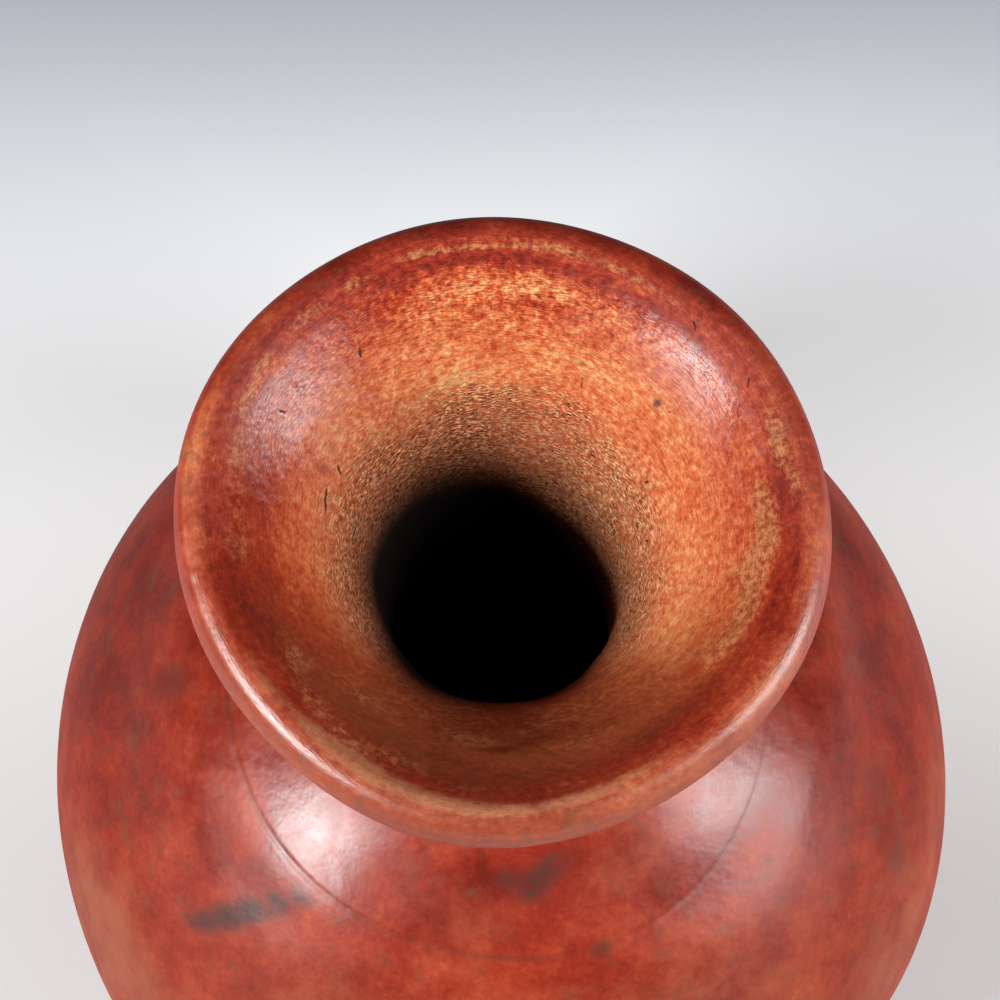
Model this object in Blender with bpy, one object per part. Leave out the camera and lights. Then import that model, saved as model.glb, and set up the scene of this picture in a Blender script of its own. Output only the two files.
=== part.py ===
"""Long-necked vessel: one hollow piece of fired clay, closed at the foot and open at a flared mouth.

The wall is drawn as one line in the plane of radius and height, worked out from the named sizes below, and is turned
once round the upright axis. Metres, +Z up, the middle of the flat foot at the origin.
"""
import math

import bpy

# Wall, measured square to the surface
WALL = 0.0065

# Foot: a small worn flat under a rounded body
FOOT_RADIUS = 0.030
FOOT_EDGE = 0.007

# Body: widest at BELLY_HEIGHT, with an elliptical shoulder above it
BODY_RADIUS = 0.1042
BELLY_HEIGHT = 0.0780
SHOULDER_RISE = 0.0967

# Neck: a soft corner out of the shoulder, a straight throat, then the flare
NECK_BORE = 0.0207
NECK_CORNER = 0.0220
NECK_STRAIGHT = 0.0215
FLARE_DEPTH = 0.0626
FLARE_POWER = 2.53

# Lip: outer radius, how far it is rounded inwards, and the height of its rounded outer face
MOUTH_RADIUS = 0.0540
LIP_WIDTH = 0.0066
LIP_HEIGHT = 0.0115

# Ring cut round the shoulder by hand
RING_RADIUS = 0.0565
RING_WIDTH = 0.0022
RING_DEPTH = 0.0010

SEGMENTS = 56
BELLY_STEPS = 9
CORNER_STEPS = 5
FLARE_STEPS = 8
LIP_STEPS = 4


def curve(start, handle_a, handle_b, end, steps):
    """Points of a cubic curve from start to end, both ends included."""
    points = []
    for i in range(steps + 1):
        t = i / steps
        s = 1.0 - t
        weights = (s * s * s, 3.0 * s * s * t, 3.0 * s * t * t, t * t * t)
        points.append(tuple(
            sum(w * p[k] for w, p in zip(weights, (start, handle_a, handle_b, end))) for k in (0, 1)))
    return points


def shoulder_height(radius):
    """Height of the outer shoulder above the foot at a radius."""
    return BELLY_HEIGHT + SHOULDER_RISE * math.sqrt(1.0 - (radius / BODY_RADIUS) ** 2)


def shoulder_slope(radius):
    """Change of the shoulder's height with its radius."""
    share = radius / BODY_RADIUS
    return -SHOULDER_RISE * share / (BODY_RADIUS * math.sqrt(1.0 - share * share))


def lower_body():
    """Outer line from the middle of the foot to the widest level."""
    cut = FOOT_RADIUS + FOOT_EDGE
    drop = BELLY_HEIGHT / math.sqrt(1.0 - (cut / BODY_RADIUS) ** 2)
    start = math.acos(min(1.0, (cut + FOOT_EDGE) / BODY_RADIUS))
    arc = []
    for i in range(BELLY_STEPS + 1):
        angle = start * (1.0 - i / BELLY_STEPS)
        arc.append((BODY_RADIUS * math.cos(angle), BELLY_HEIGHT - drop * math.sin(angle)))
    edge = curve((FOOT_RADIUS, 0.0), (cut, 0.0), (cut, 0.0), arc[0], 3)
    return [(0.0, 0.0), (FOOT_RADIUS * 0.5, 0.0)] + edge[:-1] + arc


def upper_body():
    """Outer line from above the widest level to the straight throat."""
    neck = NECK_BORE + WALL
    leave = neck + NECK_CORNER
    end = math.acos(min(1.0, leave / BODY_RADIUS))
    arc = []
    for i in range(1, BELLY_STEPS + 1):
        angle = end * i / BELLY_STEPS
        radius = BODY_RADIUS * math.cos(angle)
        arc.append((radius, shoulder_height(radius)))
    top = (neck, shoulder_height(neck) + NECK_CORNER)
    reach = 0.62 * NECK_CORNER
    slope = shoulder_slope(leave)
    handle = (leave - reach, shoulder_height(leave) - slope * reach)
    corner = curve((leave, shoulder_height(leave)), handle, (neck, top[1] - 0.9 * NECK_CORNER), top, CORNER_STEPS)
    return arc + corner[1:]


def flare_point(share, flare_foot, wall):
    """Point of the flare at a share of its depth below the mouth, moved outwards by wall."""
    spread = MOUTH_RADIUS - 0.5 * LIP_WIDTH - NECK_BORE
    rest = 1.0 - share
    radius = NECK_BORE + spread * rest ** FLARE_POWER
    slope = spread * FLARE_POWER * rest ** (FLARE_POWER - 1.0) / FLARE_DEPTH
    length = math.hypot(1.0, slope)
    return radius + wall / length, flare_foot + FLARE_DEPTH * rest - wall * slope / length


def toward(point, other, amount):
    """Point moved by amount towards another."""
    length = math.dist(point, other)
    return tuple(a + (b - a) * amount / length for a, b in zip(point, other))


def flare_and_lip(flare_foot):
    """Line up the outside of the flare, over the lip and down the inside to the throat."""
    lip_in = 0.25 * LIP_WIDTH / (MOUTH_RADIUS - NECK_BORE)
    lip_out = LIP_HEIGHT / FLARE_DEPTH
    outside = []
    inside = []
    for i in range(FLARE_STEPS + 1):
        spread = (1.0 - i / FLARE_STEPS) ** 1.25
        outside.append(flare_point(lip_out + (1.0 - lip_out) * spread, flare_foot, WALL))
        inside.append(flare_point(lip_in + (1.0 - lip_in) * spread, flare_foot, 0.0))
    mouth = flare_foot + FLARE_DEPTH
    rim = (MOUTH_RADIUS, mouth - 0.52 * LIP_HEIGHT)
    face = toward(outside[-1], outside[-2], -0.55 * LIP_HEIGHT)
    under = curve(outside[-1], face, (rim[0], rim[1] - 0.42 * LIP_HEIGHT), rim, LIP_STEPS)
    crest = toward(inside[-1], inside[-2], -0.62 * LIP_WIDTH)
    over = curve(rim, (rim[0], rim[1] + 0.38 * LIP_HEIGHT), crest, inside[-1], LIP_STEPS + 2)
    return outside + under[1:-1] + over + inside[::-1][1:]


def moved_in(line, distance):
    """The same line moved square to itself, towards the hollow."""
    moved = []
    for i, (radius, height) in enumerate(line):
        before = line[max(i - 1, 0)]
        after = line[min(i + 1, len(line) - 1)]
        along = (after[0] - before[0], after[1] - before[1])
        length = math.hypot(*along)
        moved.append((max(0.0, radius - distance * along[1] / length), height + distance * along[0] / length))
    return moved


def with_ring(line):
    """The outer line with the cut ring let into the shoulder."""
    height = shoulder_height(RING_RADIUS)
    slope = shoulder_slope(RING_RADIUS)
    length = math.hypot(1.0, slope)
    ring = []
    for share, cut in ((0.5, 0.0), (0.22, 0.8), (0.0, 1.0), (-0.22, 0.8), (-0.5, 0.0)):
        radius = RING_RADIUS + share * RING_WIDTH / length
        depth = cut * RING_DEPTH
        ring.append((radius + depth * slope / length, shoulder_height(radius) - depth / length))
    outer = [p for p in line if p[1] < height - RING_WIDTH or p[0] > RING_RADIUS + RING_WIDTH]
    inner = [p for p in line[len(outer):] if p[0] < RING_RADIUS - RING_WIDTH]
    return outer + ring + inner


def vessel_line():
    """The whole closed line of the wall, from the middle of the foot over the lip to the middle of the hollow."""
    body = lower_body() + upper_body()
    flare_foot = body[-1][1] + NECK_STRAIGHT
    hollow = moved_in(body, WALL)
    return with_ring(body) + flare_and_lip(flare_foot) + hollow[::-1]


def turned(line, segments):
    """Vertices and faces of the line turned round Z, with a single point wherever it meets the axis."""
    vertices = []
    rings = []
    for radius, height in line:
        if radius < 1e-6:
            rings.append([len(vertices)] * segments)
            vertices.append((0.0, 0.0, height))
            continue
        rings.append(list(range(len(vertices), len(vertices) + segments)))
        for k in range(segments):
            angle = 2.0 * math.pi * k / segments
            vertices.append((radius * math.cos(angle), radius * math.sin(angle), height))
    faces = []
    for low, high in zip(rings, rings[1:]):
        for k in range(segments):
            after = (k + 1) % segments
            corners = []
            for corner in (low[k], low[after], high[after], high[k]):
                if corner not in corners:
                    corners.append(corner)
            faces.append(corners)
    return vertices, faces


def clay():
    """Burnished red slip."""
    material = bpy.data.materials.new("redware")
    material.use_nodes = True
    surface = material.node_tree.nodes["Principled BSDF"]
    surface.inputs["Base Color"].default_value = (0.36, 0.07, 0.03, 1.0)
    surface.inputs["Roughness"].default_value = 0.35
    return material


def main():
    for thing in list(bpy.data.objects):
        bpy.data.objects.remove(thing, do_unlink=True)
    vertices, faces = turned(vessel_line(), SEGMENTS)
    mesh = bpy.data.meshes.new("vessel")
    mesh.from_pydata(vertices, [], faces)
    mesh.materials.append(clay())
    mesh.update()
    vessel = bpy.data.objects.new("vessel", mesh)
    bpy.context.scene.collection.objects.link(vessel)


main()
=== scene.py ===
"""Long-necked burnished redware vessel, seen from high above its flared mouth.

The clay is one surface of two parameters: the azimuth round the upright axis, from +X towards +Y, and the run
along the wall's line in millimetres, counted from the crest of the lip, minus outside and plus inside. Masks
worked out from the same two parameters say where the slip is worn, bare, gritty or smoked, and where shade
and highlights are painted into the colour, and the material breaks their edges up with noise.
"""
import math

import bpy
import numpy as np
from mathutils import Matrix, Vector


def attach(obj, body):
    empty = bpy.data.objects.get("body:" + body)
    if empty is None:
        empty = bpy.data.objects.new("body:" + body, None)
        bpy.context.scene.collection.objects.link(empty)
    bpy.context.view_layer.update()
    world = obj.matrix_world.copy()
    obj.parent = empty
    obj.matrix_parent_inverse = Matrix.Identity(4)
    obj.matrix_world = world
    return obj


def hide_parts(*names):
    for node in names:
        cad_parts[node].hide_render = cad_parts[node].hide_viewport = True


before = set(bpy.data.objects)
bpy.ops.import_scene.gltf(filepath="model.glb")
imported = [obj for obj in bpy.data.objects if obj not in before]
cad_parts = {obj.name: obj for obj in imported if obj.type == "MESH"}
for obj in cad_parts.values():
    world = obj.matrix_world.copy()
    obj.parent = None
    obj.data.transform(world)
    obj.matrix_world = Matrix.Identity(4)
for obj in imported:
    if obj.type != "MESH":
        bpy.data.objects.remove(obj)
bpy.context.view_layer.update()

# The part's sizes, in metres
WALL = 0.0065
FOOT_RADIUS = 0.030
FOOT_EDGE = 0.007
BODY_RADIUS = 0.1042
BELLY_HEIGHT = 0.0780
SHOULDER_RISE = 0.0967
NECK_BORE = 0.0207
NECK_CORNER = 0.0220
NECK_STRAIGHT = 0.0215
FLARE_DEPTH = 0.0626
FLARE_POWER = 2.53
MOUTH_RADIUS = 0.0540
LIP_WIDTH = 0.0066
LIP_HEIGHT = 0.0115
RING_RADIUS = 0.0565

# One millimetre in metres
MM = 0.001

# Points on each stretch of the wall's line, and on each row round the vessel
FLOOR_STEPS = 16
EDGE_STEPS = 24
BODY_STEPS = 160
CORNER_STEPS = 60
FLARE_STEPS = 120
LIP_STEPS = 50
CREST_STEPS = 60
COLUMNS = 432

# Radius in mm round which the flow coordinates wrap the azimuth, and half a pit's size across that round
FLOW_RADIUS = 12.0
PIT_REACH = 3.0


def bezier(start, handle_a, handle_b, end, steps):
    """Cubic curve from start to end through the pull of two handles."""
    t = np.linspace(0.0, 1.0, steps)[:, None]
    s = 1.0 - t
    a, b, c, d = (np.asarray(p, float) for p in (start, handle_a, handle_b, end))
    return s ** 3 * a + 3 * s * s * t * b + 3 * s * t * t * c + t ** 3 * d


def shoulder(radius):
    """Height of the outer shoulder at a radius: a quarter ellipse above the widest level."""
    return BELLY_HEIGHT + SHOULDER_RISE * np.sqrt(1.0 - (np.asarray(radius) / BODY_RADIUS) ** 2)


def shoulder_slope(radius):
    """Change of the shoulder's height with its radius."""
    share = radius / BODY_RADIUS
    return -SHOULDER_RISE * share / (BODY_RADIUS * math.sqrt(1.0 - share * share))


def outer_body():
    """Line from the middle of the foot over the widest level and the shoulder to the straight neck."""
    cut = FOOT_RADIUS + FOOT_EDGE
    drop = BELLY_HEIGHT / math.sqrt(1.0 - (cut / BODY_RADIUS) ** 2)
    angle = np.linspace(math.acos((cut + FOOT_EDGE) / BODY_RADIUS), 0.0, BODY_STEPS)
    lower = np.stack([BODY_RADIUS * np.cos(angle), BELLY_HEIGHT - drop * np.sin(angle)], -1)
    edge = bezier((FOOT_RADIUS, 0.0), (cut, 0.0), (cut, 0.0), lower[0], EDGE_STEPS)
    floor = np.stack([np.linspace(0.0, FOOT_RADIUS, FLOOR_STEPS), np.zeros(FLOOR_STEPS)], -1)

    neck = NECK_BORE + WALL
    leave = neck + NECK_CORNER
    angle = np.linspace(0.0, math.acos(leave / BODY_RADIUS), BODY_STEPS)[1:]
    upper = np.stack([BODY_RADIUS * np.cos(angle), shoulder(BODY_RADIUS * np.cos(angle))], -1)
    top = float(shoulder(neck)) + NECK_CORNER
    start = (leave, float(shoulder(leave)))
    reach = 0.62 * NECK_CORNER
    handle = (leave - reach, start[1] - shoulder_slope(leave) * reach)
    corner = bezier(start, handle, (neck, top - 0.9 * NECK_CORNER), (neck, top), CORNER_STEPS)
    return np.concatenate([floor[:-1], edge[:-1], lower, upper, corner[1:]])


def flare(share, foot, wall):
    """Point of the flare: bore plus spread times (1 - share) to a power, moved square to itself by wall."""
    spread = MOUTH_RADIUS - 0.5 * LIP_WIDTH - NECK_BORE
    rest = 1.0 - np.asarray(share)
    slope = spread * FLARE_POWER * rest ** (FLARE_POWER - 1.0) / FLARE_DEPTH
    length = np.hypot(1.0, slope)
    radius = NECK_BORE + spread * rest ** FLARE_POWER + wall / length
    return np.stack([radius, foot + FLARE_DEPTH * rest - wall * slope / length], -1)


def beyond(point, before, amount):
    """Point carried on past itself, away from the one before."""
    step = point - before
    return point + step * (amount / np.linalg.norm(step))


def flare_and_lip(foot):
    """Line up the outside of the flare, over the lip and down the inside to the throat."""
    lip_in = 0.25 * LIP_WIDTH / (MOUTH_RADIUS - NECK_BORE)
    lip_out = LIP_HEIGHT / FLARE_DEPTH
    share = np.linspace(1.0, 0.0, FLARE_STEPS) ** 1.25
    outside = flare(lip_out + (1.0 - lip_out) * share, foot, WALL)
    inside = flare(lip_in + (1.0 - lip_in) * share, foot, 0.0)
    rim = np.array([MOUTH_RADIUS, foot + FLARE_DEPTH - 0.52 * LIP_HEIGHT])
    face = beyond(outside[-1], outside[-2], 0.55 * LIP_HEIGHT)
    under = bezier(outside[-1], face, rim - (0.0, 0.42 * LIP_HEIGHT), rim, LIP_STEPS)
    crest = beyond(inside[-1], inside[-2], 0.62 * LIP_WIDTH)
    over = bezier(rim, rim + (0.0, 0.38 * LIP_HEIGHT), crest, inside[-1], CREST_STEPS)
    return np.concatenate([outside, under[1:], over[1:], inside[::-1][1:]])


def wall_line():
    """Radius and height from the middle of the foot over the lip to the middle of the hollow."""
    body = outer_body()
    along = np.gradient(body, axis=0)
    along /= np.linalg.norm(along, axis=1)[:, None]
    hollow = body + WALL * np.stack([-along[:, 1], along[:, 0]], -1)
    hollow[:, 0] = np.maximum(hollow[:, 0], 0.0)
    return np.concatenate([body, flare_and_lip(body[-1, 1] + NECK_STRAIGHT), hollow[::-1]])


LINE = wall_line()
CREST_POINT = LINE[:, 1].argmax()
LENGTHS = np.concatenate([[0.0], np.cumsum(np.linalg.norm(np.diff(LINE, axis=0), axis=1))]) / MM
RUNS = LENGTHS - LENGTHS[CREST_POINT]
FOOT_RUN, FLOOR_RUN = RUNS[0], RUNS[-1]
TOP = LINE[CREST_POINT, 1]


def line_at(run):
    """Radius, height and outward normal of the wall's line at a run."""
    reach = 0.4
    radius = np.interp(run, RUNS, LINE[:, 0])
    height = np.interp(run, RUNS, LINE[:, 1])
    d_radius = np.interp(run + reach, RUNS, LINE[:, 0]) - np.interp(run - reach, RUNS, LINE[:, 0])
    d_height = np.interp(run + reach, RUNS, LINE[:, 1]) - np.interp(run - reach, RUNS, LINE[:, 1])
    length = np.hypot(d_radius, d_height) + 1e-12
    return radius, height, d_height / length, -d_radius / length


def shoulder_run(radius):
    """Run where the outer shoulder has a radius."""
    outer = LINE[:CREST_POINT]
    gap = np.where(outer[:, 1] > BELLY_HEIGHT, np.abs(outer[:, 0] - radius), np.inf)
    return RUNS[gap.argmin()]


def ease(x, low, high):
    """0 below low, 1 above high and a smooth step between; the other way round if low is above high."""
    t = np.clip((x - low) / (high - low), 0.0, 1.0)
    return t * t * (3.0 - 2.0 * t)


def turn_from(az, at):
    """Turn in radians from a direction in radians, the short way round."""
    return (az - at + math.pi) % (2.0 * math.pi) - math.pi


def waves(az, terms):
    """Sum of cosines of whole turns: each term gives turns, size and the azimuth of its crest in degrees."""
    return sum(size * np.cos(turns * (az - math.radians(crest))) for turns, size, crest in terms)


def ripple(az, run, seed, count, turns, pitch):
    """Smooth unevenness of about unit size: cosines of up to so many turns and of waves along the run."""
    dice = np.random.default_rng(seed)
    total = np.zeros(np.broadcast(az, run).shape)
    for _ in range(count):
        m = dice.integers(-turns, turns + 1)
        k = dice.normal() * 2.0 * math.pi / pitch
        total += np.cos(m * az + k * run + dice.uniform(0.0, 2.0 * math.pi))
    return total / math.sqrt(count / 2.0)


def blobs(az, run, spots):
    """Sum of spots, each its strength times e to minus the square of the distance in its half lengths."""
    radius = line_at(run)[0] / MM
    total = np.zeros(np.broadcast(az, run).shape)
    for at, along, wide, tall, strength in spots:
        turn = turn_from(az, math.radians(at))
        total += strength * np.exp(-((turn * radius / wide) ** 2 + ((run - along) / tall) ** 2))
    return total


# Waves round the vessel: turns, size in mm and azimuth of the crest, and how far the whole round is drawn in
MOUTH_WAVES = ((2, 0.50, 146), (3, 0.36, 21), (4, 0.30, 79), (5, 0.13, 46), (6, 0.12, 36))
BODY_WAVES = ((1, 0.49, 172), (2, 0.23, 73), (3, 0.56, -12), (4, 0.66, -32))
BODY_INSET = 0.44
RING_WAVES = ((1, 0.25, 253), (2, 0.54, 119), (3, 0.58, 59), (4, 0.42, 43))
RING_INSET = 0.35

# Radius gained on each mm of run where the ring is cut
RING_SLANT = 0.93
RING_RUN = shoulder_run(RING_RADIUS)

# Heights, depths and half widths of the hand-made relief, in mm
LUMPS_ABOVE = 0.22
LUMPS_BELOW = 0.08
LUMPS_INSIDE = 0.16
FINE_LUMPS = 0.09
RING_DEPTH = 0.14
RING_HALF_WIDTH = 0.55
RING_DARK_HALF_WIDTH = 0.65
CREASE_DEPTH = 0.09
GLINT_HEIGHT = 0.30
PIT_DEPTH = 0.28
PIT_EDGE = 0.05

# How far the lip's outer half sinks on the near side, and its share where it leans at the near left
LIP_SAG = 1.5
LIP_LEAN = 0.45
LEAN_AT = 213.0
LEAN_HALF_TURN = 24.0

# Patches seen in the photograph: azimuth in degrees, run, half lengths round and along in mm, and strength.
# In this order: bare clay, worn clay on the near rim, darker slip and painted shade, broken-up wear,
# rubbed slip and painted highlights, grainy parts, small red spots, smoke marks, earth stains and
# painted haze, dark pores above the throat, shiny parts and dull parts.
BUFF = (
    (107, 2.6, 4, 0.6, 0.9), (98, 1.7, 4, 0.5, 0.35), (88, 1.6, 5, 0.6, 0.3), (80, 2.2, 6, 0.9, 0.5),
    (73, 2.4, 7, 0.9, 0.4), (64, 2.8, 6, 1.1, 0.45), (55, 3.0, 5, 1.1, 0.35), (104, 3.3, 4, 0.3, 1.0),
    (96, 3.0, 5, 0.22, 0.9), (86, 3.2, 6, 0.25, 0.7), (121, 3.2, 3, 1.0, 0.8), (133, 3.4, 5, 1.4, 0.6),
    (147, 3.8, 4, 1.2, 0.6), (155, 5.2, 3, 1.3, 0.7), (164, 7.0, 5, 2.2, 0.5), (175, 9.0, 5, 3.0, 0.4),
    (186, 8.0, 4, 4.0, 0.4), (44, 3.4, 6, 0.9, 0.4), (17, 3.2, 4, 1.7, 1.0), (6, 2.4, 4, 1.3, 0.7),
    (12, 4.4, 3, 1.0, 0.5), (5, 9.5, 4, 2.4, 0.9), (-3, 8.8, 5, 2.4, 0.9), (-10, 12.2, 5, 2.6, 0.7),
    (-18, 10.4, 5, 2.8, 0.8), (-28, 11.4, 6, 2.8, 0.7), (-12, 16.0, 3, 2.0, 0.4), (-34, 16.0, 4, 3.0, 0.4),
    (225, 8.0, 6, 2.2, 0.5), (238, 6.2, 7, 1.8, 0.6), (249, 8.5, 6, 2.0, 0.5), (214, 12.0, 5, 3.0, 0.5),
    (263, 6.2, 6, 1.6, 0.4), (282, 5.6, 6, 1.6, 0.3), (200, 18.0, 5, 3.0, 0.4), (230, 18.0, 6, 3.0, 0.4),
    (262, 20.0, 6, 3.0, 0.4), (290, 16.0, 6, 3.0, 0.4))
CREST = (
    (250, 2.0, 12, 1.7, 1.2), (236, 2.6, 8, 1.6, 0.9), (268, 1.4, 9, 1.3, 1.0), (284, 1.6, 9, 1.3, 1.0),
    (300, 1.8, 7, 1.2, 0.5), (218, 2.0, 8, 1.5, 0.5), (240, 4.0, 6, 1.8, 0.5))
# Painted shade among these: the spots at run -6 on the far rim's outer face, the lip's shadow on the body's
# front at azimuth 273, run -128, and the large spots low on the flanks at run -182
DEEP_AND_SHADE = (
    (118, -6.2, 20, 1.7, 1.1), (90, -6.2, 24, 1.7, 1.2), (62, -6.2, 24, 1.7, 1.2), (40, -6.0, 12, 1.6, 0.9),
    (188, 20.0, 26, 14.0, 0.45), (214, 8.0, 16, 5.0, 0.4), (90, -0.6, 34, 1.3, 0.8),
    (50, -0.6, 14, 1.3, 0.7), (244, 15.0, 14, 4.0, 0.9), (214, 10.0, 8, 4.0, 0.5), (146, 2.2, 12, 1.6, 0.7),
    (96, 4.8, 10, 1.1, 1.0), (84, 5.2, 9, 1.2, 1.0), (72, 6.0, 8, 1.4, 0.9), (60, 7.0, 8, 1.6, 0.9),
    (49, 6.6, 7, 1.8, 0.8), (38, 6.8, 6, 1.6, 0.6), (110, 4.6, 8, 1.6, 0.8), (127, 5.2, 8, 1.4, 0.7),
    (137, 1.4, 12, 1.0, 0.8), (155, 1.0, 10, 1.0, 0.7), (9, 5.6, 5, 1.9, 1.0), (2, 5.0, 4, 1.6, 0.8),
    (-10, 5.0, 5, 1.7, 1.0), (-20, 5.4, 5, 1.6, 1.0), (12, -0.2, 8, 0.9, 0.6), (-3, 2.6, 9, 0.6, 0.8),
    (-16, 2.7, 8, 0.6, 0.8), (-38, 7.6, 9, 2.0, 0.9), (-50, 8.5, 9, 2.2, 0.9), (-62, 7.0, 9, 2.6, 0.7),
    (262, 8.5, 20, 3.6, 0.9), (290, 8.6, 12, 2.4, 0.4), (243, 12.0, 12, 3.0, 0.8), (225, 14.0, 7, 3.0, 0.6),
    (195, 6.0, 7, 3.0, 0.6), (205, 8.0, 8, 4.0, 0.8), (190, 13.0, 4, 3.0, 0.6), (171, 12.6, 3, 2.6, 0.7),
    (172, -182.0, 36, 26.0, 1.2), (10, -182.0, 30, 26.0, 0.7), (273, -128.0, 22, 9.0, 1.1),
    (-5, -160.0, 16, 18.0, 0.5), (110, 12.0, 5, 3.0, 0.3), (98, 16.0, 4, 3.0, 0.5), (118, 9.0, 5, 2.4, 0.6),
    (78, 12.6, 7, 1.6, 0.6))
FLECK = (
    (92, 9.4, 12, 3.0, 1.0), (101, 12.0, 8, 4.0, 0.7), (78, 9.6, 9, 3.0, 0.9), (110, 11.0, 6, 4.0, 0.4),
    (64, 10.0, 6, 3.0, 0.6), (54, 9.0, 6, 3.0, 0.5), (88, 16.0, 12, 3.0, 0.4), (122, 6.0, 6, 2.4, 0.6),
    (148, 5.0, 6, 2.0, 0.7), (40, 6.0, 7, 3.0, 0.5), (14, 8.0, 5, 3.0, 0.4), (-14, 9.0, 8, 4.0, 0.4),
    (-35, 12.0, 9, 5.0, 0.35), (66, 20.0, 10, 4.0, 0.3), (39, 49.0, 6, 8.0, 0.7), (20, 46.0, 6, 8.0, 0.4))
# Painted highlights among these: the lighter slip at azimuth 148, run 17, and at azimuth 30 to 34, runs 8 and
# 20, where the inner wall catches the lights
ORANGE_AND_HIGHLIGHT = (
    (148, 17.0, 11, 10.0, 1.2), (124, 12.0, 12, 6.0, 0.7), (128, 26.0, 14, 8.0, 0.5),
    (165, 32.0, 10, 8.0, 0.4), (110, 29.0, 12, 7.0, 0.4), (-36, 30.0, 8, 10.0, 1.0),
    (176, 24.0, 10, 9.0, 0.5), (205, 26.0, 12, 10.0, 0.6), (62, 14.0, 10, 6.0, 0.6),
    (95, 31.0, 16, 6.0, 0.6), (30, 30.0, 24, 8.0, 0.6), (-38, -3.0, 18, 4.0, 0.8),
    (-62, -2.0, 10, 4.0, 0.5), (0, -1.0, 14, 2.0, 0.7), (-5, 30.0, 12, 6.0, 0.3), (100, 21.0, 16, 6.0, 0.5),
    (66, 24.0, 14, 6.0, 0.5), (34, 8.0, 14, 6.0, 0.8), (60, 5.5, 8, 2.4, 0.6), (296, 34.0, 10, 16.0, 1.0),
    (325, 12.0, 9, 8.0, 0.6), (30, 20.0, 14, 8.0, 0.5), (-40, 24.0, 8, 10.0, 0.7), (150, 22.0, 8, 6.0, 0.6),
    (186, 20.0, 6, 8.0, 0.5), (172, 7.0, 5, 5.0, 0.5))
STROKES = ((96, 10.0, 30, 12.0, 1.0), (145, 12.0, 16, 8.0, 1.0), (90, 26.0, 34, 10.0, 0.3))
REDDISH = (
    (112, 26.4, 1.1, 0.7, 1.0), (99.6, 30.0, 0.9, 0.8, 1.0), (94.8, 32.0, 1.0, 0.8, 1.0),
    (92.2, 21.6, 0.8, 1.5, 1.0), (96.4, 23.6, 1.2, 0.7, 0.9), (150, 24.0, 1.6, 2.4, 0.6),
    (157, 25.0, 1.4, 3.0, 0.8), (162, 22.0, 1.2, 2.0, 0.5), (121, 24.5, 2.0, 1.2, 0.6),
    (-38, 14.0, 3.0, 2.4, 0.7), (-30, 18.0, 3.0, 2.0, 0.5), (128, 17.0, 2.0, 1.5, 0.5))
SMOKE = (
    (-144.4, -171.6, 3.2, 2.0, 0.5), (-142.8, -167.6, 3.8, 2.8, 0.7), (-140.6, -162.4, 4.0, 3.0, 0.7),
    (-138.4, -156.8, 4.0, 3.0, 0.75), (-135.6, -150.8, 4.0, 2.8, 0.75), (-132.8, -145.6, 3.4, 2.2, 0.6),
    (-90.0, -125.5, 3, 3.0, 0.5), (-82.0, -127.5, 4, 3.6, 0.6), (-76.0, -124.0, 3, 3.0, 0.5),
    (-70.0, -144.0, 3, 2.4, 0.6), (-70.0, -124.0, 3, 2.0, 0.5), (-33.0, -152.0, 1.6, 1.2, 0.8),
    (-19.0, -189.0, 7, 9.0, 0.5), (-12.0, -176.0, 8, 9.0, 0.35), (-52.0, -137.0, 5, 4.0, 0.3),
    (178, -158, 5, 8, 0.45), (41.5, 20.0, 0.7, 1.0, 1.0), (65.8, 21.9, 0.9, 0.7, 0.5),
    (160.2, 17.4, 0.7, 0.5, 0.5))
# Painted reflection: the first two spots, on the body's front, stand for a haze of reflected light
EARTH_AND_HAZE = (
    (250, -166, 26, 16, 0.55), (298, -166, 28, 16, 0.55), (305, -130, 12, 8, 0.5), (258, -136, 12, 8, 0.4),
    (-148, -200, 22, 10, 0.5), (-158, -212, 22, 14, 0.6), (-8, -212, 16, 18, 0.5), (-30, -208, 18, 12, 0.4))
SOOT_GRAIN = (
    (84, 34.0, 8, 3.4, 1.0), (72, 31.0, 5, 3.4, 0.8), (60, 33.0, 4, 3.0, 0.6), (100, 36.0, 7, 3.0, 0.8),
    (120, 38.5, 6, 2.6, 0.8), (140, 40.0, 6, 3.0, 0.7), (88, 41.0, 8, 3.0, 0.5), (74, 27.0, 3, 2.0, 0.5))
SHEEN = (
    (150, 12.0, 14, 8.0, 1.0), (36, 12.0, 9, 6.0, 0.6), (218, -133.0, 12, 6.0, 0.5),
    (-34, -133.0, 13, 7.0, 1.2), (-14, -136.0, 12, 7.0, 1.1))
MATTE = (
    (213, -117.0, 18, 6.0, 0.9), (212, -151.0, 14, 5.0, 0.55), (236, -150.0, 10, 5.0, 0.4),
    (242, -134.0, 6, 7.0, 0.5))

# Raised spots in the same form: small ones that catch light, and a swell at the right of the neck's foot
GLINTS = (
    (-4.2, 0.3, 0.8, 0.8, 1.0), (-112.0, 16.0, 0.9, 0.7, 0.6), (-71.0, 22.0, 1.0, 0.8, 0.5),
    (-168.0, -1.4, 1.0, 0.7, 0.9))
SWELLS = ((-34.0, -124.0, 28.0, 10.5, 1.6),)

# Pits and cracks: azimuth and run of both ends, half width in mm
PITS = (
    (127.3, 14.3, 127.9, 15.5, 0.30), (151.9, 11.7, 151.5, 12.5, 0.24), (153.2, 27.4, 154.6, 28.9, 0.24),
    (161.4, 27.2, 168.0, 28.8, 0.28), (27.2, 33.1, 27.6, 33.9, 0.20), (-8.8, 34.9, -8.2, 35.3, 0.28),
    (9.4, 40.0, 9.8, 40.6, 0.26), (65.0, 24.7, 64.1, 27.4, 0.09), (37.2, 19.3, 37.5, 19.6, 0.16),
    (46.5, 3.6, 45.2, 4.6, 0.16), (29.8, 3.0, 28.6, 4.2, 0.16))


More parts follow.
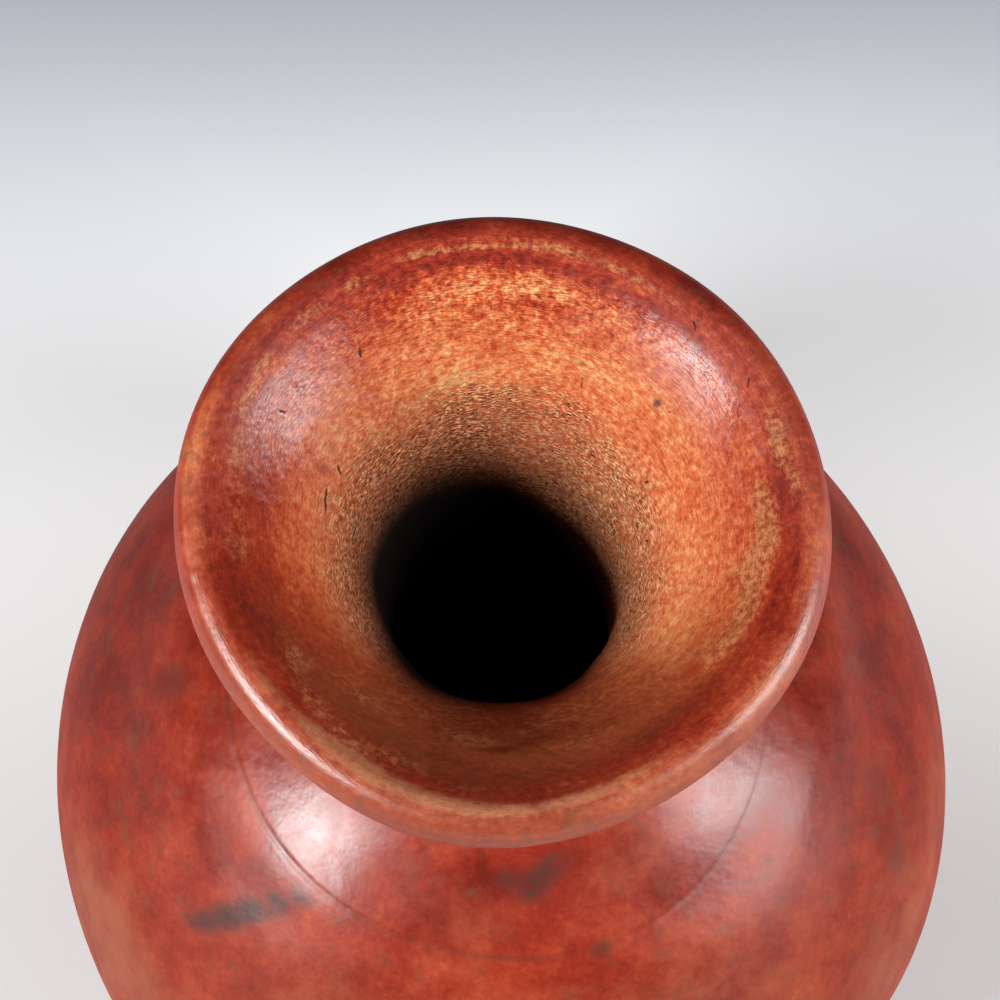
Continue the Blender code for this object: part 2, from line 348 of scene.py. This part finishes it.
def pit_frame(az_a, run_a, az_b, run_b, half):
    """Turn of a pit's middle, its lean, and its half length and half width in the flow coordinates."""
    round_way = math.radians(az_b - az_a) * FLOW_RADIUS
    along = run_b - run_a
    lean = math.atan2(along, round_way)
    squeeze = FLOW_RADIUS * MM / float(line_at(0.5 * (run_a + run_b))[0])
    wide = half * math.hypot(math.cos(lean), math.sin(lean) * squeeze)
    long = 0.5 * math.hypot(round_way, along) + half * math.hypot(math.cos(lean) * squeeze, math.sin(lean))
    return math.radians(0.5 * (az_a + az_b)), lean, (long, wide)


def dents(az, run):
    """Depth in mm of the pits: full depth times e to minus the square of the distance in half sizes."""
    depth = np.zeros(np.broadcast(az, run).shape)
    for az_a, run_a, az_b, run_b, half in PITS:
        turn, lean, (long, wide) = pit_frame(az_a, run_a, az_b, run_b, half)
        round_way = turn_from(az, turn) * FLOW_RADIUS
        along = run - 0.5 * (run_a + run_b)
        u = (round_way * math.cos(lean) + along * math.sin(lean)) / long
        v = (along * math.cos(lean) - round_way * math.sin(lean)) / (wide + PIT_EDGE)
        depth = np.maximum(depth, PIT_DEPTH * np.exp(-(u * u + v * v)))
    return depth


def ring_run(az):
    """Run of the hand-cut ring: its level less the waves of its radius over the shoulder's slant."""
    return RING_RUN - (waves(az, RING_WAVES) - RING_INSET) / RING_SLANT


def out_of_round(az, run):
    """Move away from the axis in mm: the mouth and the body each have waves of their own."""
    mouth = ease(run, -34.0, -9.0) * ease(run, 34.0, 12.0) * waves(az, MOUTH_WAVES)
    return mouth + ease(run, -150.0, -185.0) * (waves(az, BODY_WAVES) - BODY_INSET)


def lumps(az, run):
    """Height in mm of the lumps left by smoothing, none at the crest of the lip, the foot and the floor."""
    outside = LUMPS_ABOVE - (LUMPS_ABOVE - LUMPS_BELOW) * ease(run, -150.0, -175.0)
    height = np.where(run < -16.0, outside, LUMPS_INSIDE) * ripple(az, run, 3, 26, 7, 46.0)
    height = height + FINE_LUMPS * ripple(az, run, 8, 30, 16, 13.0) * ease(run, -10.0, 4.0)
    height = height * ease(np.abs(run), 1.0, 14.0) * ease(run, FOOT_RUN + 30.0, FOOT_RUN + 60.0)
    return height * ease(run, FLOOR_RUN - 10.0, FLOOR_RUN - 60.0)


def relief(az, run):
    """Height in mm along the normal: lumps, swell and bumps less the bell-shaped ring, crease and pits."""
    groove = np.exp(-((run - ring_run(az)) / RING_HALF_WIDTH) ** 2)
    ring = RING_DEPTH * (1.0 + 0.35 * ripple(az, 0.0, 5, 10, 14, 9.0)) * groove
    crease = np.exp(-((run - 4.2 - 0.5 * np.cos(az - 0.6)) / 1.1) ** 2) * (0.6 + 0.4 * np.cos(az))
    skin = lumps(az, run) - ring - CREASE_DEPTH * crease + blobs(az, run, SWELLS)
    return skin - dents(az, run) + GLINT_HEIGHT * blobs(az, run, GLINTS)


def sag(az, run):
    """Sinking in mm of the lip's outer half: towards the near side, and where it leans at the near left."""
    fall = ease(run, -18.0, -8.0) * ease(run, -0.5, -5.0) * (0.5 - 0.5 * np.sin(az)) ** 1.5
    turn = (az - math.radians(LEAN_AT)) / math.radians(LEAN_HALF_TURN)
    lean = LIP_LEAN * ease(run, -18.0, -8.0) * ease(run, 1.4, -2.8) * np.exp(-turn ** 2)
    return LIP_SAG * (fall + lean)


def surface(az, run):
    """Points of the vessel: the turned line, moved out of round, along its normal by the relief, and down."""
    radius, height, n_radius, n_height = line_at(run)
    skin = relief(az, run)
    r = np.maximum(radius + (out_of_round(az, run) + n_radius * skin) * MM, 0.0)
    z = np.minimum(height + (n_height * skin - sag(az, run)) * MM, TOP)
    return np.stack([r * np.cos(az), r * np.sin(az), z], -1)


def row_runs():
    """Runs of the rows of points: close together near the lip and the ring, wide in the hollow."""
    spans = (
        (FOOT_RUN, -262.0, 6.0), (-262.0, -196.0, 3.6), (-196.0, -150.0, 3.0), (-150.0, -139.0, 0.5),
        (-139.0, -96.0, 3.3), (-96.0, -18.0, 4.0), (-18.0, 6.0, 0.75), (6.0, 58.0, 1.0), (58.0, 92.0, 4.0),
        (92.0, FLOOR_RUN, 14.0))
    parts = []
    for low, high, step in spans:
        parts.append(np.linspace(low, high, max(2, int(round((high - low) / step)) + 1))[:-1])
    return np.concatenate(parts + [[FLOOR_RUN]])


def near_side(az):
    """1 on the side nearest the viewer and 0 from the left round the back to the right."""
    return ease(np.sin(az), -0.35, -0.95)


def bare_start(az):
    """Run inside the mouth where slip gives way to clay: earlier at the right, later at the left and near."""
    side, away = np.cos(az), np.sin(az)
    return 14.0 + 4.0 * ease(away, 0.1, -0.9) - 3.0 * ease(side, 0.3, 1.0) + 4.0 * ease(side, -0.3, -1.0)


def grit_share(az, run):
    """Coarse bare clay in the throat, hardly any on the near side."""
    start = 33.0 + 2.0 * np.cos(az)
    return ease(run, start - 9.0, start + 9.0) * (1.0 - 0.85 * near_side(az))


def crown_share(az, run):
    """The top of the lip, rubbed and shiny all round but at the far side."""
    left = np.maximum(-np.cos(az), 0.0)
    far = ease(np.sin(az), 0.5, 0.9)
    return ease(run, -4.5 + 2.5 * left, -1.5) * ease(run, 2.5, 0.5) * (1.0 - 0.9 * far)


def wear_and_painted_light_share(az, run):
    """How far the slip is rubbed, painted light and shade mixed in: 0 is deep red and 1 is cream clay."""
    start = bare_start(az)
    bare = ease(run, start - 9.0, start + 9.0) * (1.0 - 0.8 * near_side(az))
    # Painted highlight: the lip's left edge, where the left light falls, is made lighter
    turn = (az - math.radians(172.0)) / math.radians(14.0)
    painted_lit_edge = np.exp(-turn ** 2) * ease(run, -3.5, -1.5) * ease(run, 1.2, 0.0)
    wear_and_painted_light = 0.27 + 0.04 * ease(run, -1.0, 3.0) + 0.28 * bare + 0.14 * painted_lit_edge + 0.14 * crown_share(az, run)
    return wear_and_painted_light + 0.22 * blobs(az, run, FLECK) + 0.13 * blobs(az, run, ORANGE_AND_HIGHLIGHT) - 0.18 * blobs(az, run, DEEP_AND_SHADE)


def crisp_share(az, run):
    """How strongly fine grain shows: most in the flecked parts and the throat, less on the near side."""
    crisp = 0.36 + 0.04 * np.cos(az) + 0.35 * blobs(az, run, FLECK) + 0.30 * blobs(az, run, STROKES)
    crisp = crisp * (1.0 - 0.3 * ease(np.sin(az), 0.0, -0.6)) + 0.5 * grit_share(az, run)
    return ease(run, -4.0, 2.0) * np.clip(crisp, 0.0, 1.0)


def brown_share(az, run):
    """Brown cast inside the near wall and along the near lip's outer edge."""
    inner = ease(run, 5.0, 14.0) * (0.55 + 0.45 * near_side(az))
    outer = 0.6 * ease(run, -8.0, -5.0) * ease(run, 1.0, -0.5)
    return ease(np.sin(az), 0.0, -0.7) * (inner + outer)


def dull_share(az, run):
    """Where the burnish is gone: bare clay, lower body, the lip's outer face, the far rim and matte spots."""
    away = np.sin(az)
    left = np.maximum(-np.cos(az), 0.0)
    start = bare_start(az)
    throat = ease(run, start - 4.0, start + 12.0) * (1.0 - 0.5 * left) * ease(run, -1.0, 3.0)
    lower_body = ease(run, -152.0, -185.0) * (run < 0.0)
    far_rim = 0.8 * ease(run, -1.0, 1.0) * ease(run, 8.0, 5.0) * ease(away, -0.3, 0.1)
    outer_lip = ease(run, -10.0, -6.5) * ease(run, -2.2, -4.0) * (0.5 + 0.25 * ease(away, -0.3, 0.1))
    outer_lip = outer_lip + 0.35 * ease(run, -14.0, -9.0) * ease(run, -4.4, -6.0)
    return np.maximum.reduce([throat, lower_body, blobs(az, run, MATTE), far_rim, outer_lip])


def earth_and_haze_share(az, run):
    """Earth stains: spots, the near side of the lower body and all round the foot; two spots are painted
    haze.
    """
    near = 0.35 * ease(run, -150.0, -190.0) * ease(np.sin(az), -0.1, -0.5) * (run < 0.0)
    return blobs(az, run, EARTH_AND_HAZE) + near + ease(run, -225.0, -262.0) * (run < -200.0)


def throat_shade_share(az, run):
    """Painted shade down the throat, which starts deeper at the right and higher at the left and near side.
    """
    side, away = np.cos(az), np.sin(az)
    right, left, near = np.maximum(side, 0.0), np.maximum(-side, 0.0), near_side(az)
    near_right = right * np.maximum(-away, 0.0)
    start = 43.0 + 31.0 * right - 11.0 * left - 28.0 * near_right - 15.0 * near
    full = 65.0 + 40.0 * right - 12.0 * left - 32.0 * near_right - 13.0 * near
    return ease(run, start, full)


def masks(az, run):
    """Shares from 0 to 1 that tell the material what lies where."""
    grit = grit_share(az, run)
    ring = np.exp(-((run - ring_run(az)) / RING_DARK_HALF_WIDTH) ** 2)
    near_buff = 0.40 * near_side(az) * ease(run, 15.0, 26.0) * ease(run, 54.0, 40.0)
    return {
        "inside": ease(run, -1.0, 3.0),
        "wear_and_painted_light": wear_and_painted_light_share(az, run),
        "crisp": crisp_share(az, run),
        "brown": brown_share(az, run),
        "buff": blobs(az, run, BUFF) + near_buff,
        "crest": blobs(az, run, CREST),
        "reddish": blobs(az, run, REDDISH),
        "grit": grit,
        "pored": grit + 0.6 * blobs(az, run, SOOT_GRAIN),
        "throat_shade": throat_shade_share(az, run),
        "ring": ring * (0.7 + 0.3 * ripple(az, 0.0, 6, 10, 12, 9.0)),
        "smoke": blobs(az, run, SMOKE),
        "earth_and_haze": earth_and_haze_share(az, run),
        "dull": dull_share(az, run),
        "sheen": np.maximum(crown_share(az, run), blobs(az, run, SHEEN)),
    }


def vessel_mesh():
    """The closed surface: a row of points for each run, a column for each azimuth, a point at each end."""
    turn = np.linspace(0.0, 2.0 * math.pi, COLUMNS, endpoint=False)
    az, run = np.meshgrid(turn, row_runs())
    rings = len(run) - 2
    keep = np.r_[0, COLUMNS:(rings + 1) * COLUMNS + 1]

    column = np.arange(COLUMNS)
    after = (column + 1) % COLUMNS
    first = 1 + COLUMNS * np.arange(rings)[:, None]
    low, high = first[:-1], first[1:]
    wall = np.stack([low + column, low + after, high + after, high + column], -1).reshape(-1, 4)
    foot = np.stack([0 * column, 1 + after, 1 + column], -1)
    end = np.full(COLUMNS, 1 + rings * COLUMNS)
    floor = np.stack([first[-1] + column, first[-1] + after, end], -1)

    mesh = bpy.data.meshes.new("redware_vessel")
    points = surface(az, run).reshape(-1, 3)[keep]
    mesh.from_pydata(points.tolist(), [], [*foot.tolist(), *wall.tolist(), *floor.tolist()])
    mesh.polygons.foreach_set("use_smooth", [True] * len(mesh.polygons))
    for name, values in masks(az, run).items():
        layer = mesh.attributes.new(name, "FLOAT", "POINT")
        layer.data.foreach_set("value", np.clip(values.ravel()[keep], 0.0, 1.0).astype(np.float32))
    flow = np.stack([np.cos(az) * FLOW_RADIUS, np.sin(az) * FLOW_RADIUS, run], -1).reshape(-1, 3)[keep]
    layer = mesh.attributes.new("flow", "FLOAT_VECTOR", "POINT")
    layer.data.foreach_set("vector", flow.astype(np.float32).ravel())
    mesh.update()
    return mesh


def tone(colour):
    """Scene-linear colour of a display colour given as 0 to 255."""
    def linear(v):
        v /= 255.0
        return v / 12.92 if v <= 0.04045 else ((v + 0.055) / 1.055) ** 2.4
    return (*(linear(v) for v in colour), 1.0)


class Nodes:
    """Short names for the shader nodes used here. Any input may be a number, a colour or a node's output."""

    def __init__(self, tree):
        self.tree = tree

    def make(self, kind, inputs=(), **settings):
        """A node with its settings and its inputs set or linked."""
        node = self.tree.nodes.new(kind)
        for name, value in settings.items():
            setattr(node, name, value)
        for key, value in dict(inputs).items():
            socket = node.inputs[key]
            if isinstance(value, bpy.types.NodeSocket):
                self.tree.links.new(value, socket)
            else:
                socket.default_value = value
        return node

    def math(self, operation, a, b=0.0):
        """Result of one operation on numbers."""
        return self.make("ShaderNodeMath", {0: a, 1: b}, operation=operation).outputs[0]

    def add(self, a, b):
        """a plus b."""
        return self.math("ADD", a, b)

    def times(self, a, b):
        """a times b."""
        return self.math("MULTIPLY", a, b)

    def remap(self, value, low, high, to_low=0.0, to_high=1.0, smooth=True):
        """Value moved from one range to another and held inside it, with eased or straight steps."""
        kind = "SMOOTHSTEP" if smooth else "LINEAR"
        return self.make("ShaderNodeMapRange", {
            "Value": value, "From Min": low, "From Max": high, "To Min": to_low, "To Max": to_high},
            interpolation_type=kind).outputs["Result"]

    def noise(self, where, size, detail, rough):
        """Noise with a feature size in the unit of the coordinates."""
        return self.make("ShaderNodeTexNoise", {
            "Vector": where, "Scale": 1.0 / size, "Detail": detail, "Roughness": rough}).outputs[0]

    def swing(self, value, size):
        """Noise moved to swing about nothing."""
        return self.times(self.math("SUBTRACT", value, 0.5), size)

    def ragged(self, mask, broken, low, high, most=1.0):
        """A mask made larger or smaller by a share of itself that swings with noise, between thresholds."""
        return self.remap(self.times(mask, self.add(broken, 1.0)), low, high, 0.0, most)

    def ramp(self, value, stops):
        """Colour by value: each stop gives a value and the display colour there."""
        node = self.make("ShaderNodeValToRGB", {0: value})
        marks = node.color_ramp.elements
        for _ in stops[2:]:
            marks.new(0.5)
        for mark, (at, colour) in zip(marks, stops):
            mark.position = at
            mark.color = tone(colour)
        return node.outputs[0]

    def blend(self, share, a, b):
        """Colour between a and b."""
        return self.make("ShaderNodeMix", {0: share, 6: a, 7: b}, data_type="RGBA").outputs[2]

    def mix(self, share, a, b):
        """Number between a and b."""
        return self.make("ShaderNodeMix", {0: share, 2: a, 3: b}).outputs[0]

    def mask(self, name):
        """One of the mesh's shares."""
        return self.make("ShaderNodeAttribute", attribute_name=name).outputs["Fac"]

    def vector(self, name):
        """One of the mesh's vectors."""
        return self.make("ShaderNodeAttribute", attribute_name=name).outputs["Vector"]

    def scaled(self, where, x, y, z):
        """Coordinates stretched along their axes."""
        return self.make("ShaderNodeVectorMath", {0: where, 1: (x, y, z)}, operation="MULTIPLY").outputs[0]


# Colours of the clay as seen on a screen, 0 to 255: the slip's by how far it is rubbed, and those over it
SLIP_TONES = (
    (0.00, (108, 30, 20)), (0.22, (142, 42, 25)), (0.40, (165, 60, 35)), (0.56, (190, 87, 50)),
    (0.74, (210, 122, 75)), (0.95, (224, 172, 116)))
BROWN_DARK, BROWN_LIGHT = (108, 52, 28), (160, 92, 52)
BUFF_DARK, BUFF_LIGHT = (150, 88, 54), (192, 130, 84)
GRIT_DARK, GRIT_LIGHT = (214, 120, 76), (244, 182, 134)
WORN_CREST = (204, 142, 102)
RED_SPOT = (160, 38, 22)
PORE = (74, 40, 24)
PALE_GRAIN = (250, 192, 140)
# Painted shade: near black down the throat
THROAT_SHADE_BLACK = (14, 9, 7)
PIT_BROWN = (46, 27, 20)
BODY_STAIN = (108, 66, 46)
RING_DARK = (96, 44, 34)
SMOKE_GREY = (66, 46, 42)
# Earth stains, and a painted haze of reflected light on the body's front
EARTH_AND_HAZE_BROWN = (152, 86, 62)


class Clay(Nodes):
    """The layers of the vessel's look, over the noises and masks that they share."""

    def __init__(self, tree):
        super().__init__(tree)
        self.place = self.make("ShaderNodeTexCoord").outputs["Object"]
        self.flow = self.vector("flow")
        self.inside = self.mask("inside")
        self.grit = self.mask("grit")
        self.sheen = self.mask("sheen")
        self.clouds = self.noise(self.place, 0.0140, 4.0, 0.68)
        self.grain = self.noise(self.place, 0.0013, 3.0, 0.75)
        self.fine = self.noise(self.scaled(self.flow, 1.1, 1.1, 2.0), 0.44, 1.0, 0.75)
        self.streaks = self.noise(self.scaled(self.flow, 1.0, 1.0, 3.0), 1.2, 1.0, 0.6)
        self.pits = self.pit_share(self.swing(self.fine, 0.8))

    def pit_share(self, wobble):
        """Share inside any pit or crack: each is a thin ellipsoid in the flow coordinates."""
        total = 0.0
        for az_a, run_a, az_b, run_b, half in PITS:
            turn, lean, size = pit_frame(az_a, run_a, az_b, run_b, half)
            centre = (FLOW_RADIUS * math.cos(turn), FLOW_RADIUS * math.sin(turn), 0.5 * (run_a + run_b))
            local = self.make("ShaderNodeMapping", {
                "Vector": self.flow, "Location": centre, "Rotation": (lean, 0.0, turn),
                "Scale": (PIT_REACH, *size)}, vector_type="TEXTURE").outputs[0]
            away = self.make("ShaderNodeVectorMath", {0: local}, operation="LENGTH").outputs["Value"]
            total = self.math("MAXIMUM", total, self.remap(self.add(away, wobble), 1.25, 0.75))
        return total

    def slip(self):
        """Slip from deep red through orange to cream, broken up at every scale, under the brown cast."""
        coarse_size = self.remap(self.inside, 0.0, 1.0, 0.9, 0.5, smooth=False)
        coarse = self.times(self.swing(self.clouds, 1.0), coarse_size)
        small_size = self.remap(self.mask("crisp"), 0.0, 1.0, 0.40, 1.7, smooth=False)
        small = self.times(self.swing(self.grain, 1.0), small_size)
        rubbed = self.times(self.swing(self.streaks, 0.28), self.inside)
        # The wear share also carries painted highlights and painted shade
        wear_and_painted_light = self.add(self.add(self.mask("wear_and_painted_light"), coarse), self.add(small, rubbed))
        skin = self.ramp(wear_and_painted_light, SLIP_TONES)
        brown = self.blend(self.grain, tone(BROWN_DARK), tone(BROWN_LIGHT))
        return self.blend(self.times(self.mask("brown"), 0.6), skin, brown)

    def patches(self, skin):
        """Bare buff patches, the worn crest and small red spots."""
        rough = self.remap(self.mask("brown"), 0.0, 0.6, 3.4, 2.4, smooth=False)
        edges = self.add(self.times(self.swing(self.grain, 1.0), rough), self.swing(self.clouds, 2.0))
        soft_edges = self.add(self.swing(self.grain, 1.2), self.swing(self.clouds, 1.6))
        buff = self.blend(self.remap(self.grain, 0.40, 0.60), tone(BUFF_DARK), tone(BUFF_LIGHT))
        skin = self.blend(self.ragged(self.mask("buff"), edges, 0.15, 0.95, 0.72), skin, buff)
        crest = self.ragged(self.mask("crest"), soft_edges, 0.10, 1.15, 0.62)
        skin = self.blend(crest, skin, tone(WORN_CREST))
        return self.blend(self.ragged(self.mask("reddish"), edges, 0.25, 0.75, 0.8), skin, tone(RED_SPOT))

    def throat(self, skin):
        """Pale grit full of dark pores and short wiggles, then painted shade going to black down the throat.
        """
        patchy = self.add(self.swing(self.grain, 2.4), self.swing(self.clouds, 5.0))
        dense = self.ragged(self.mask("pored"), patchy, 0.15, 1.00)
        wiggle = self.remap(self.math("ABSOLUTE", self.swing(self.fine, 1.0)), 0.035, 0.008)
        pores = self.math("MAXIMUM", wiggle, self.remap(self.fine, 0.45, 0.37))
        gritty = self.blend(self.remap(self.grain, 0.38, 0.62), tone(GRIT_DARK), tone(GRIT_LIGHT))
        skin = self.blend(self.times(self.grit, 0.6), skin, gritty)
        skin = self.blend(self.times(self.times(pores, dense), 0.95), skin, tone(PORE))
        grains = self.times(self.remap(self.fine, 0.55, 0.65), self.times(dense, 0.5))
        skin = self.blend(grains, skin, tone(PALE_GRAIN))
        return self.blend(self.mask("throat_shade"), skin, tone(THROAT_SHADE_BLACK))

    def grained(self, skin):
        """Dark pits, and light and shade at the finest scale."""
        skin = self.blend(self.times(self.pits, 0.88), skin, tone(PIT_BROWN))
        bright = self.remap(self.fine, 0.30, 0.70, 0.50, 1.42)
        shade = self.add(self.times(self.math("SUBTRACT", bright, 1.0), self.mask("crisp")), 1.0)
        return self.make("ShaderNodeHueSaturation", {"Value": shade, "Color": skin}).outputs[0]

    def stains(self, skin):
        """Small stains on the body, darker colour along the ring, smoke clouds, and earth with painted haze.
        """
        spots = self.remap(self.noise(self.place, 0.0060, 4.0, 0.70), 0.52, 0.68, 0.0, 0.45)
        outside = self.math("SUBTRACT", 1.0, self.inside)
        skin = self.blend(self.times(spots, outside), skin, tone(BODY_STAIN))
        skin = self.blend(self.times(self.mask("ring"), 0.6), skin, tone(RING_DARK))
        smoky = self.add(self.swing(self.clouds, 3.0), self.swing(self.grain, 2.0))
        skin = self.blend(self.ragged(self.mask("smoke"), smoky, 0.08, 0.85, 0.9), skin, tone(SMOKE_GREY))
        earth_and_haze = self.ragged(self.mask("earth_and_haze"), self.swing(self.clouds, 2.4), 0.0, 1.2, 0.8)
        return self.blend(earth_and_haze, skin, tone(EARTH_AND_HAZE_BROWN))

    def roughness(self):
        """Burnished where the slip is whole, matte where it is gone, and roughest in the grit and pits."""
        polish = self.add(self.remap(self.clouds, 0.3, 0.7, 0.25, 0.38), self.times(self.inside, -0.02))
        polish = self.add(polish, self.times(self.sheen, 0.06))
        matte = self.mix(self.mask("dull"), polish, 0.62)
        return self.mix(self.math("MAXIMUM", self.grit, self.pits), matte, 0.9)

    def gloss(self):
        """Strength of reflections: less where the burnish is gone, more on the lip's crown and lit spots."""
        base = self.remap(self.mask("dull"), 0.0, 1.0, 0.37, 0.11, smooth=False)
        return self.add(base, self.times(self.sheen, 0.55))

    def bump(self):
        """Grains in the throat, rubbing marks round the mouth and soft burnishing facets all over."""
        facets = self.noise(self.place, 0.0034, 2.0, 0.55)
        rubs = self.add(self.times(self.mask("crisp"), 0.32), self.times(self.sheen, 0.12))
        grains = self.times(self.fine, self.add(self.times(self.grit, 1.8), rubs))
        strokes = self.times(self.streaks, self.times(self.inside, 0.10))
        facets = self.times(facets, self.remap(self.inside, 0.0, 1.0, 0.22, 0.8, smooth=False))
        height = self.add(grains, self.add(strokes, facets))
        bump = self.make("ShaderNodeBump", {"Height": height, "Strength": 0.7, "Distance": 0.0006})
        return bump.outputs["Normal"]


def redware():
    """Burnished red slip, worn through to orange and buff clay inside the mouth, with grit in the throat."""
    material = bpy.data.materials.new("redware")
    material.use_nodes = True
    tree = material.node_tree
    clay = Clay(tree)
    skin = clay.stains(clay.grained(clay.throat(clay.patches(clay.slip()))))
    shader = tree.nodes["Principled BSDF"].inputs
    tree.links.new(skin, shader["Base Color"])
    tree.links.new(clay.roughness(), shader["Roughness"])
    tree.links.new(clay.gloss(), shader["Specular IOR Level"])
    tree.links.new(clay.bump(), shader["Normal"])
    return material


# Display colours of the floor near the vessel and far behind it, and half its width in metres
FLOOR_NEAR, FLOOR_FAR = (232, 233, 233), (174, 179, 190)
FLOOR_REACH = 3.0
WHITE = (1.0, 1.0, 1.0, 1.0)


def floor_paint():
    """Pale paint, blue-grey towards the back, and a painted glow behind the vessel that lifts floor shadows.
    """
    material = bpy.data.materials.new("studio_floor")
    material.use_nodes = True
    tree = material.node_tree
    n = Nodes(tree)
    place = n.make("ShaderNodeTexCoord").outputs["Object"]
    across, back = n.make("ShaderNodeSeparateXYZ", {0: place}).outputs[:2]
    painted_glow = n.times(n.remap(back, -0.03, 0.10), n.remap(back, 0.27, 0.15))
    shader = tree.nodes["Principled BSDF"].inputs
    shade = n.blend(n.remap(back, 0.06, 0.30), tone(FLOOR_NEAR), tone(FLOOR_FAR))
    tree.links.new(shade, shader["Base Color"])
    # Painted light: the floor glows in a band behind the vessel, a little more to the right
    tree.links.new(n.times(painted_glow, n.remap(across, -0.15, 0.15, 0.20, 0.26)), shader["Emission Strength"])
    shader["Emission Color"].default_value = WHITE
    shader["Roughness"].default_value = 0.9
    shader["Specular IOR Level"].default_value = 0.1
    return material


def pale_floor():
    """Plain studio table that the vessel stands on."""
    mesh = bpy.data.meshes.new("studio_floor")
    corners = [(x * FLOOR_REACH, y * FLOOR_REACH, 0.0) for x, y in ((-1, -1), (1, -1), (1, 1), (-1, 1))]
    mesh.from_pydata(corners, [], [(0, 1, 2, 3)])
    mesh.materials.append(floor_paint())
    floor = bpy.data.objects.new("studio_floor", mesh)
    bpy.context.scene.collection.objects.link(floor)


# Height of the point that both lights look at, and the strength of the light from all round
LIGHT_AIM = 0.22
ROOM_GLOW = 0.06


def softbox(name, at, wide, tall, power):
    """Rectangular white light that looks at the neck."""
    light = bpy.data.lights.new(name, "AREA")
    light.shape = "RECTANGLE"
    light.size = wide
    light.size_y = tall
    light.energy = power
    lamp = bpy.data.objects.new(name, light)
    turn = (Vector((0.0, 0.0, LIGHT_AIM)) - Vector(at)).to_track_quat("-Z", "Y").to_matrix().to_4x4()
    lamp.matrix_world = Matrix.Translation(at) @ turn
    bpy.context.scene.collection.objects.link(lamp)


def studio():
    """Two softboxes in front to the left and right, and a pale room."""
    scene = bpy.context.scene
    scene.view_settings.view_transform = "Standard"
    world = bpy.data.worlds.new("studio")
    world.use_nodes = True
    room = world.node_tree.nodes["Background"].inputs
    room["Color"].default_value = WHITE
    room["Strength"].default_value = ROOM_GLOW
    scene.world = world
    softbox("softbox_left", (-0.615, -0.32, 0.66), 0.30, 0.30, 8.8)
    softbox("softbox_right", (0.70, -0.22, 0.58), 0.36, 0.70, 7.8)


# The photograph's view: degrees below level, distance and height of the mouth's middle, then the focal length
# and the mouth's place right of and below the picture's middle, in px of the 1000 px picture
VIEW_TILT = 72.0
VIEW_DISTANCE = 8.0 * MOUTH_RADIUS
VIEW_HEIGHT = 0.271467
FOCAL_PX = 2617.0
RIGHT_PX = 1.85
BELOW_PX = 18.8
PHOTO_PX = 1000.0
SENSOR = 36.0


def camera():
    """Camera at the photograph's view of the mouth."""
    tilt = math.radians(VIEW_TILT)
    forward = Vector((0.0, math.cos(tilt), -math.sin(tilt)))
    right = Vector((1.0, 0.0, 0.0))
    up = Vector((0.0, math.sin(tilt), math.cos(tilt)))
    pixel = VIEW_DISTANCE / FOCAL_PX
    data = bpy.data.cameras.new("view")
    data.sensor_width = SENSOR
    data.lens = FOCAL_PX * SENSOR / PHOTO_PX
    data.clip_start, data.clip_end = 0.01, 20.0
    eye = bpy.data.objects.new("view", data)
    mouth = Vector((0.0, 0.0, VIEW_HEIGHT))
    eye.location = mouth - forward * VIEW_DISTANCE - right * (RIGHT_PX * pixel) + up * (BELOW_PX * pixel)
    eye.rotation_euler = (math.radians(90.0 - VIEW_TILT), 0.0, 0.0)
    bpy.context.scene.collection.objects.link(eye)
    bpy.context.scene.camera = eye


vessel = bpy.data.objects.new("redware_vessel", vessel_mesh())
vessel.data.materials.append(redware())
bpy.context.scene.collection.objects.link(vessel)
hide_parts("vessel")
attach(vessel, "root")
pale_floor()
studio()
camera()
